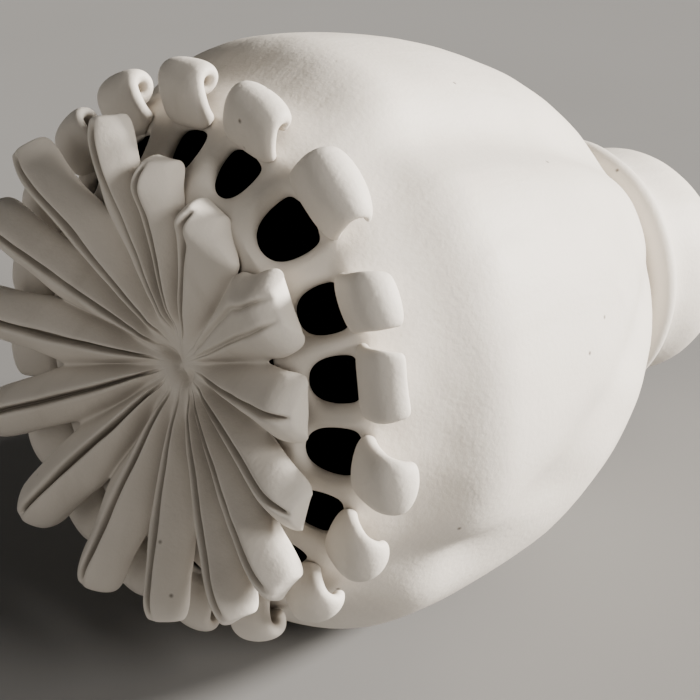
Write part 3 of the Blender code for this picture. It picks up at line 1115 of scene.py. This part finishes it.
    def add_ray(self, index: int, ray: Ray, edges: Pair, centre: Sequence[Corner]) -> None:
        """Add one ray and its share of the hub.

        Args:
            index: The ray's number.
            ray: The ray.
            edges: Angles at which its share of the hub starts and ends.
            centre: The upper and lower vertex on the axis.
        """
        rows = []
        for radius in self.hub_rows:
            sections = self.hub_section(ray, edges, radius)
            rows.append(self.row_points(sections, radius, index))
        sections = self.ray_section(ray, edges, 0.0)
        rows.append(self.row_points(sections, self.notch_r, index))
        for share in self.ray_rows:
            sections = self.ray_section(ray, edges, share)
            rows.append([[self.mesh.verts.new(place) for place in s] for s in sections])
        # The slit columns carry the strength of the painted shadow that the finish lays in the
        # slits.
        for row in rows[slice(*self.slit_rows)]:
            for column in self.slit_columns(ray):
                row[0][column][self.slit] = ray.cut
        last = len(rows[0][0]) - 1
        face = self.mesh.faces.new
        for i in range(last):
            face([centre[0], rows[0][0][i], rows[0][0][i + 1]])
            face([centre[1], rows[0][1][i + 1], rows[0][1][i]])
        for number, (near, far) in enumerate(zip(rows, rows[1:])):
            for i in range(last):
                face([near[0][i], far[0][i], far[0][i + 1], near[0][i + 1]])
                face([near[1][i + 1], far[1][i + 1], far[1][i], near[1][i]])
            if number >= len(self.hub_rows):
                face([near[0][0], near[1][0], far[1][0], far[0][0]])
                face([near[1][last], near[0][last], far[0][last], far[1][last]])
        tip = rows[-1]
        for i in range(last):
            face([tip[0][i], tip[1][i], tip[1][i + 1], tip[0][i + 1]])

    def crack(self, along: float, up: float) -> float:
        """Find how deep the hub's cracks are.

        Args:
            along: Place on the disc towards -Y.
            up: Place on the disc towards +Z.

        Returns:
            Their depth there.
        """
        here = Vector((along, up))
        depth = 0.0
        for start, end in self.cracks:
            first, way = Vector(start), Vector(end) - Vector(start)
            share = clamp((here - first).dot(way) / way.length_squared)
            off = (here - first - way * share).length / self.crack_width
            depth = max(depth, self.crack_depth * bell(off))
        return depth

    def warp(self, place: Vector) -> Vector:
        """Make the hand-pressed rays and the hub uneven.

        Args:
            place: A place of the smooth surface.

        Returns:
            Where it moves: sideways on the rays, and up or down on the hub.
        """
        radius = math.hypot(place.y, place.z)
        flat = Vector((0.0, place.y, place.z)) / self.wobble_size
        size = self.wobble * smoothstep(radius, *self.wobble_fade)
        shift_y, shift_z, shift_x = self.noise_shifts
        y = noise.noise(flat + Vector((shift_y, 0, 0))) * size
        z = noise.noise(flat + Vector((0, shift_z, 0))) * size
        rough = self.hub_rough * (1 - smoothstep(radius, *self.hub_rough_fade))
        x = noise.noise(place / self.hub_rough_size + Vector((0, 0, shift_x))) * rough
        x += self.crack(-place.y, place.z)
        return place + Vector((x, y, z))


@dataclass
class Stem(ClayPart):
    """The collar, the bulb and a short tube cut open at its end.

    The outline is a row of distances along the axis and radii, from the capsule rearwards.
    """

    name: ClassVar[str] = "stem_clay"
    outline: tuple[Pair, ...] = (
        (1.4346, 0.420),
        (1.447, 0.485),
        (1.480, 0.518),
        (1.515, 0.512),
        (1.550, 0.470),
        (1.605, 0.435),
        (1.700, 0.443),
        (1.800, 0.455),
        (1.900, 0.440),
        (1.990, 0.385),
        (2.070, 0.300),
        (2.150, 0.225),
        (2.240, 0.190),
        (2.325, 0.179),
        (2.340, 0.178),
    )
    face_share: float = 0.93
    front: float = 0.060
    wall: float = 0.046
    bend: float = 0.10
    sides: int = 28
    hand: Hand = Hand(0.005, 0.30, 0.0018, 0.09, 23.0)
    levels: int = 2

    def cage(self) -> Cage:
        """Draw the whole stem, which sinks a little towards its cut end.

        Returns:
            Its closed cage.
        """
        mesh = bmesh.new()
        start = self.outline[0][0]
        behind = [(x, r) for x, r in self.outline[::-1] if x > start + self.front]
        profile = [(start, self.outline[0][1] * self.face_share), *self.outline]
        profile += [(x, r - self.wall) for x, r in behind]
        profile += [(start + self.front, behind[-1][1] - 2 * self.wall)]
        rings = []
        for x, radius in profile:
            drop = Vector((0, 0, self.bend * max(0.0, x - start) ** 2))
            places = [at(x, radius, 360 * i / self.sides) - drop for i in range(self.sides)]
            rings.append([mesh.verts.new(place) for place in places])
        for near, far in zip(rings, rings[1:]):
            for i in range(self.sides):
                j = (i + 1) % self.sides
                mesh.faces.new([near[i], far[i], far[j], near[j]])
        mesh.faces.new(rings[0])
        mesh.faces.new(rings[-1][::-1])
        return mesh


class Kind(Enum):
    """What a socket of a node group carries."""

    VALUE = "NodeSocketFloat"
    COLOUR = "NodeSocketColor"
    VECTOR = "NodeSocketVector"


class Sum(Enum):
    """What a Math node works out."""

    TIMES = "MULTIPLY"
    PLUS = "ADD"
    TIMES_PLUS = "MULTIPLY_ADD"
    ABOVE = "GREATER_THAN"


@dataclass(frozen=True)
class Marks:
    """Noise marks: their scale and detail, the range that shows, and their stretch and turn.

    The turn is in degrees about each axis.
    """

    scale: float
    detail: float
    shown: Pair = (0.0, 1.0)
    stretch: Optional[Triple] = None
    turn: Triple = (0.0, 0.0, 0.0)


class Graph:
    """A node tree, and the few steps that the finishes are made of."""

    def __init__(self, tree: Tree) -> None:
        """Keep the tree."""
        self.tree = tree

    def add(self, kind: str) -> Node:
        """Return a new shader node."""
        return self.tree.nodes.new(f"ShaderNode{kind}")

    def feed(self, target: Socket, value: Value) -> None:
        """Give an input its value.

        Args:
            target: The input.
            value: An output to link it to, or what to set it to.
        """
        if isinstance(value, Socket):
            self.tree.links.new(value, target)
        else:
            target.default_value = value

    def place(self) -> Socket:
        """Return the place on the object, in its own axes."""
        return self.add("TexCoord").outputs["Object"]

    def carried(self, mask: Mask) -> Socket:
        """Read a value that the mesh carries.

        Args:
            mask: Which value.

        Returns:
            The value.
        """
        node = self.add("Attribute")
        node.attribute_name = mask.value
        return node.outputs["Fac"]

    def work_out(self, rule: Sum, *values: Value) -> Socket:
        """Work out a sum.

        Args:
            rule: What is done.
            values: The two or three values that it takes, in order.

        Returns:
            The result.
        """
        node = self.add("Math")
        node.operation = rule.value
        for target, value in zip(node.inputs, values):
            self.feed(target, value)
        return node.outputs[0]

    def ramp(self, value: Value, shown: Sequence[Value], to: Pair = (0.0, 1.0)) -> Socket:
        """Map a value smoothly.

        Args:
            value: The value.
            shown: Where its rise starts and ends.
            to: What it becomes at those two.

        Returns:
            The mapped value.
        """
        node = self.add("MapRange")
        node.interpolation_type = "SMOOTHSTEP"
        names = ("From Min", "From Max", "To Min", "To Max")
        for name, number in zip(names, (*shown, *to)):
            self.feed(node.inputs[name], number)
        self.feed(node.inputs["Value"], value)
        return node.outputs[0]

    def noise(self, vector: Socket, marks: Marks) -> Socket:
        """Make noise marks.

        Args:
            vector: The place.
            marks: Their scale and stretch.

        Returns:
            Their value there.
        """
        if marks.stretch is not None:
            mapping = self.add("Mapping")
            self.feed(mapping.inputs["Scale"], marks.stretch)
            self.feed(mapping.inputs["Rotation"], [math.radians(a) for a in marks.turn])
            self.feed(mapping.inputs["Vector"], vector)
            vector = mapping.outputs["Vector"]
        node = self.add("TexNoise")
        self.feed(node.inputs["Scale"], marks.scale)
        self.feed(node.inputs["Detail"], marks.detail)
        self.feed(node.inputs["Vector"], vector)
        return node.outputs["Fac"]

    def mix(self, factor: Value, first: Value, second: Value) -> Socket:
        """Mix two colours.

        Args:
            factor: How much of the second there is.
            first: First colour.
            second: Second colour.

        Returns:
            The mixed colour.
        """
        node = self.add("Mix")
        node.data_type = "RGBA"
        self.feed(node.inputs["Factor"], factor)
        self.feed(node.inputs["A"], first)
        self.feed(node.inputs["B"], second)
        return node.outputs["Result"]

    def use(self, group: Tree, inputs: dict[str, Value]) -> Socket:
        """Place a shared group.

        Args:
            group: The group.
            inputs: The values of its named inputs.

        Returns:
            Its only output.
        """
        node = self.add("Group")
        node.node_tree = group
        for name, value in inputs.items():
            self.feed(node.inputs[name], value)
        return node.outputs[0]


class GroupGraph(Graph):
    """A shared node group with named inputs and outputs."""

    def __init__(self, name: str, inputs: dict[str, Kind], outputs: dict[str, Kind]) -> None:
        """Start a group.

        Args:
            name: Its name.
            inputs: What each named input carries.
            outputs: What each named output carries.
        """
        super().__init__(bpy.data.node_groups.new(name, "ShaderNodeTree"))
        for way, sockets in (("INPUT", inputs), ("OUTPUT", outputs)):
            for label, kind in sockets.items():
                self.tree.interface.new_socket(label, in_out=way, socket_type=kind.value)
        self.inputs = self.tree.nodes.new("NodeGroupInput").outputs
        self.outputs = self.tree.nodes.new("NodeGroupOutput").inputs


@dataclass
class ClayGroups:
    """The node groups that the clay finishes share, built once."""

    clouds: Marks = Marks(28.0, 5.0, (0.42, 0.78))
    streaks: Marks = Marks(55.0, 6.0, (0.50, 0.80), (0.35, 3.2, 1.0), (0.0, 18.0, 8.0))
    patches: Marks = Marks(45.0, 2.0)
    brush: Marks = Marks(110.0, 4.0, stretch=(0.30, 2.6, 1.2), turn=(12.0, 20.0, 0.0))
    grain: Marks = Marks(900.0, 3.0)
    hidden: Pair = (0.25, 0.85)
    hidden_samples: int = 8
    tone: Tree = field(init=False)
    specks: Tree = field(init=False)
    relief: Tree = field(init=False)
    cavity_shade: Tree = field(init=False)

    def __post_init__(self) -> None:
        """Build every group."""
        self.tone = self.build_tone()
        self.specks = self.build_specks()
        self.relief = self.build_relief()
        self.cavity_shade = self.build_cavity_shade()

    def build_tone(self) -> Tree:
        """Build the mottled, faintly streaked colour of clay.

        Returns:
            A group from Vector, Pale, Dark, Mottle and Streak to Color.
        """
        inputs = {
            "Vector": Kind.VECTOR,
            "Pale": Kind.COLOUR,
            "Dark": Kind.COLOUR,
            "Mottle": Kind.VALUE,
            "Streak": Kind.VALUE,
        }
        graph = GroupGraph("clay_tone", inputs, {"Color": Kind.COLOUR})
        colour = graph.inputs["Pale"]
        for marks, strength in ((self.clouds, "Mottle"), (self.streaks, "Streak")):
            mask = graph.ramp(graph.noise(graph.inputs["Vector"], marks), marks.shown)
            factor = graph.work_out(Sum.TIMES, mask, graph.inputs[strength])
            colour = graph.mix(factor, colour, graph.inputs["Dark"])
        graph.feed(graph.outputs["Color"], colour)
        return graph.tree

    def build_specks(self) -> Tree:
        """Build the pinholes and dark grains of clay.

        Returns:
            A group from Vector, Scale, Size and Rarity to Mask.
        """
        inputs = {
            "Vector": Kind.VECTOR,
            "Scale": Kind.VALUE,
            "Size": Kind.VALUE,
            "Rarity": Kind.VALUE,
        }
        graph = GroupGraph("clay_specks", inputs, {"Mask": Kind.VALUE})
        cells = graph.add("TexVoronoi")
        graph.feed(cells.inputs["Vector"], graph.inputs["Vector"])
        graph.feed(cells.inputs["Scale"], graph.inputs["Scale"])
        near = graph.ramp(cells.outputs["Distance"], (0.0, graph.inputs["Size"]), (1.0, 0.0))
        patch = graph.noise(graph.inputs["Vector"], self.patches)
        chosen = graph.work_out(Sum.ABOVE, patch, graph.inputs["Rarity"])
        graph.feed(graph.outputs["Mask"], graph.work_out(Sum.TIMES, near, chosen))
        return graph.tree

    def build_relief(self) -> Tree:
        """Build the height of sponge and brush marks.

        Returns:
            A group from Vector, Brush and Grain to Height.
        """
        inputs = {"Vector": Kind.VECTOR, "Brush": Kind.VALUE, "Grain": Kind.VALUE}
        graph = GroupGraph("clay_relief", inputs, {"Height": Kind.VALUE})
        heights = []
        for marks, strength in ((self.brush, "Brush"), (self.grain, "Grain")):
            height = graph.noise(graph.inputs["Vector"], marks)
            heights.append(graph.work_out(Sum.TIMES, height, graph.inputs[strength]))
        graph.feed(graph.outputs["Height"], graph.work_out(Sum.PLUS, *heights))
        return graph.tree

    def build_cavity_shade(self) -> Tree:
        """Build the mask of grooves and corners, where painted shade darkens the clay.

        Returns:
            A group from Reach to Mask.
        """
        graph = GroupGraph("clay_cavity", {"Reach": Kind.VALUE}, {"Mask": Kind.VALUE})
        hidden = graph.add("AmbientOcclusion")
        hidden.samples = self.hidden_samples
        graph.feed(hidden.inputs["Distance"], graph.inputs["Reach"])
        mask = graph.ramp(hidden.outputs["AO"], self.hidden, (1.0, 0.0))
        graph.feed(graph.outputs["Mask"], mask)
        return graph.tree


@dataclass(frozen=True)
class ClayFinish:
    """Matt unglazed fired clay: its colours, its painted shade, and the strength and size of
    its marks.
    """

    name: str
    pale: Triple = (0.82, 0.765, 0.69)
    dark: Triple = (0.60, 0.55, 0.48)
    # Dark colour of the clay's specks, and of the painted shade in grooves, corners and slits.
    dirt_and_shade: Triple = (0.20, 0.17, 0.14)
    # Near-black painted shade for the inside of the wall.
    unlit: Triple = (0.022, 0.020, 0.018)
    mottle: float = 0.42
    streak: float = 0.34
    speck_scale: float = 130.0
    speck_size: float = 0.09
    speck_rarity: float = 0.57
    # Strength and reach of the painted shade in grooves and corners.
    cavity_shade: float = 0.55
    cavity_shade_reach: float = 0.006
    # Strength and range of the painted shadow in the slits, and the range of the painted
    # near-black shade inside the wall.
    slit: float = 0.78
    slit_shown: Pair = (0.34, 0.70)
    inside_shown: Pair = (0.45, 0.95)
    brush: float = 0.6
    grain: float = 0.4
    pits: float = -1.0
    bump: float = 0.00027
    bump_strength: float = 0.8
    roughness: float = 0.58
    specular: float = 0.35

    def colour(self, graph: Graph, groups: ClayGroups, place: Socket, specks: Socket) -> Socket:
        """Lay dirt, shadow and specks over the tone of the clay.

        Args:
            graph: The material's node tree.
            groups: The shared node groups.
            place: The place on the object.
            specks: The mask of the specks.

        Returns:
            The colour.
        """
        tone = {
            "Pale": (*self.pale, 1),
            "Dark": (*self.dark, 1),
            "Mottle": self.mottle,
            "Streak": self.streak,
            "Vector": place,
        }
        colour = graph.use(groups.tone, tone)
        cavity_shade = graph.use(groups.cavity_shade, {"Reach": self.cavity_shade_reach})
        # Painted shade: darker where ambient occlusion finds grooves and corners.
        hidden = graph.work_out(Sum.TIMES, cavity_shade, self.cavity_shade)
        # Painted shadow in the slits of the disc's rays.
        shadow = graph.ramp(graph.carried(Mask.SLIT), self.slit_shown, (0.0, self.slit))
        for mask in (hidden, specks, shadow):
            colour = graph.mix(mask, colour, (*self.dirt_and_shade, 1))
        # Painted shade: the inside of the wall is coloured near black.
        depth = graph.ramp(graph.carried(Mask.INSIDE), self.inside_shown)
        return graph.mix(depth, colour, (*self.unlit, 1))

    def build(self, groups: ClayGroups) -> Material:
        """Make the material.

        Args:
            groups: The shared node groups.

        Returns:
            A new material with a Principled BSDF.
        """
        material = bpy.data.materials.new(self.name)
        material.use_nodes = True
        graph = Graph(material.node_tree)
        shader = graph.tree.nodes["Principled BSDF"]
        place = graph.place()
        speck_values = {
            "Scale": self.speck_scale,
            "Size": self.speck_size,
            "Rarity": self.speck_rarity,
            "Vector": place,
        }
        specks = graph.use(groups.specks, speck_values)
        graph.feed(shader.inputs["Base Color"], self.colour(graph, groups, place, specks))
        relief_values = {"Brush": self.brush, "Grain": self.grain, "Vector": place}
        relief = graph.use(groups.relief, relief_values)
        bump = graph.add("Bump")
        graph.feed(bump.inputs["Distance"], self.bump)
        graph.feed(bump.inputs["Strength"], self.bump_strength)
        height = graph.work_out(Sum.TIMES_PLUS, specks, self.pits, relief)
        graph.feed(bump.inputs["Height"], height)
        graph.feed(shader.inputs["Normal"], bump.outputs["Normal"])
        graph.feed(shader.inputs["Roughness"], self.roughness)
        graph.feed(shader.inputs["Specular IOR Level"], self.specular)
        return material


@dataclass(frozen=True)
class PaperFinish:
    """The plain pale paper of the floor, with faint clouds in it."""

    name: str = "floor_paper"
    tone: Triple = (0.22, 0.2175, 0.2145)
    shade: float = 0.95
    clouds: Marks = Marks(9.0, 3.0, (0.2, 0.9))
    roughness: float = 0.9

    def build(self) -> Material:
        """Make the material.

        Returns:
            A new material with a Principled BSDF.
        """
        material = bpy.data.materials.new(self.name)
        material.use_nodes = True
        graph = Graph(material.node_tree)
        shader = graph.tree.nodes["Principled BSDF"]
        mask = graph.ramp(graph.noise(graph.place(), self.clouds), self.clouds.shown)
        shaded = [part * self.shade for part in self.tone]
        colour = graph.mix(mask, (*self.tone, 1), (*shaded, 1))
        graph.feed(shader.inputs["Base Color"], colour)
        graph.feed(shader.inputs["Roughness"], self.roughness)
        return material


@dataclass(frozen=True)
class SoftLight:
    """A distant soft light: its direction in the camera's right, up and back, and its spread.

    The spread is the angle that the light covers, in degrees, and the strength is in watts for
    each square metre.
    """

    name: str
    way: Triple
    spread: float
    strength: float
    tint: Triple = (1.0, 0.95, 0.88)


@dataclass
class Studio:
    """A plain pale floor, soft lights and the camera at the photo's viewing angle.

    Places are in metres, angles in degrees, and the lens and the sensor in millimetres. The
    floor lies a hair below the head, so that no two faces share a plane.
    """

    camera_place: Triple = (-0.25234, -0.26297, 0.26104)
    azimuth: float = -44.0
    elevation: float = 29.52
    lens: float = 95.66
    sensor: float = 36.0
    nearest: float = 0.01
    floor_size: float = 6.0
    floor_drop: float = 0.0001
    paper: PaperFinish = PaperFinish()
    ambient: float = 0.05
    backdrop: float = 0.36
    air: Triple = (1.0, 0.99, 0.97)
    lights: tuple[SoftLight, ...] = (
        SoftLight("key", (1.0, 0.42, 0.06), 11.0, 12.5),
        SoftLight("side", (0.85, 0.25, 0.70), 20.0, 1.9),
        SoftLight("fill", (-0.75, -0.05, 0.70), 36.0, 0.42),
    )

    def axes(self) -> tuple[Vector, Vector, Vector]:
        """Work out how the camera is turned.

        Returns:
            Its right, up and back directions.
        """
        turn, tip = math.radians(self.azimuth), math.radians(self.elevation)
        level = math.cos(tip)
        back = Vector((math.sin(turn) * level, -math.cos(turn) * level, math.sin(tip)))
        right = Vector((math.cos(turn), math.sin(turn), 0))
        return right, back.cross(right), back

    def add_camera(self) -> None:
        """Add the scene's camera."""
        data = bpy.data.cameras.new("photo_camera")
        data.lens = self.lens
        data.sensor_width = self.sensor
        data.clip_start = self.nearest
        camera = bpy.data.objects.new("photo_camera", data)
        matrix = Matrix(self.axes()).transposed().to_4x4()
        matrix.translation = Vector(self.camera_place)
        camera.matrix_world = matrix
        bpy.context.scene.collection.objects.link(camera)
        bpy.context.scene.camera = camera

    def add_floor(self) -> None:
        """Add the floor, which belongs to the stage and not to the head."""
        mesh = bpy.data.meshes.new("floor")
        half = self.floor_size / 2
        corners = [(-half, -half, 0), (half, -half, 0), (half, half, 0), (-half, half, 0)]
        mesh.from_pydata(corners, [], [(0, 1, 2, 3)])
        floor = bpy.data.objects.new("floor", mesh)
        floor.location.z = -self.floor_drop
        bpy.context.scene.collection.objects.link(floor)
        mesh.materials.append(self.paper.build())

    def add_light(self, light: SoftLight) -> None:
        """Add one soft light.

        Args:
            light: The light.
        """
        right, up, back = self.axes()
        toward = right * light.way[0] + up * light.way[1] + back * light.way[2]
        data = bpy.data.lights.new(light.name, "SUN")
        data.angle = math.radians(light.spread)
        data.energy = light.strength
        data.color = light.tint
        lamp = bpy.data.objects.new(light.name, data)
        lamp.rotation_mode = "QUATERNION"
        lamp.rotation_quaternion = toward.to_track_quat("Z", "Y")
        bpy.context.scene.collection.objects.link(lamp)

    def add_world(self) -> None:
        """Add weak light from all round, and a backdrop as pale as the floor."""
        world = bpy.data.worlds.new("studio")
        bpy.context.scene.world = world
        world.use_nodes = True
        graph = Graph(world.node_tree)
        seen = graph.add("LightPath").outputs["Is Camera Ray"]
        added = self.backdrop - self.ambient
        strength = graph.work_out(Sum.TIMES_PLUS, seen, added, self.ambient)
        background = graph.tree.nodes["Background"]
        graph.feed(background.inputs["Color"], (*self.air, 1))
        graph.feed(background.inputs["Strength"], strength)

    def build(self) -> None:
        """Set up the whole studio."""
        self.add_camera()
        self.add_floor()
        self.add_world()
        for light in self.lights:
            self.add_light(light)


def main() -> None:
    """Build the head's pieces, their finishes and the studio."""
    logging.basicConfig(level=logging.INFO, format="%(name)s: %(message)s")
    outline = BodyOutline()
    pose = HeadPose().matrix(outline)
    groups = ClayGroups()
    body_clay = ClayFinish("body_clay").build(groups)
    disc_clay = ClayFinish("disc_clay", cavity_shade=0.5, mottle=0.35).build(groups)
    parts = (
        (Capsule(outline), "capsule", body_clay),
        (StigmaDisc(), "stigma_disc", disc_clay),
        (Stem(), "stem", body_clay),
    )
    for part, node, clay in parts:
        piece = part.build(pose)
        part.dress(piece, clay)
        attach(piece, "root")
        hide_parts(node)
        LOG.info("%s: %d faces", piece.name, len(piece.data.polygons))
    Studio().build()


if __name__ == "__main__":
    main()
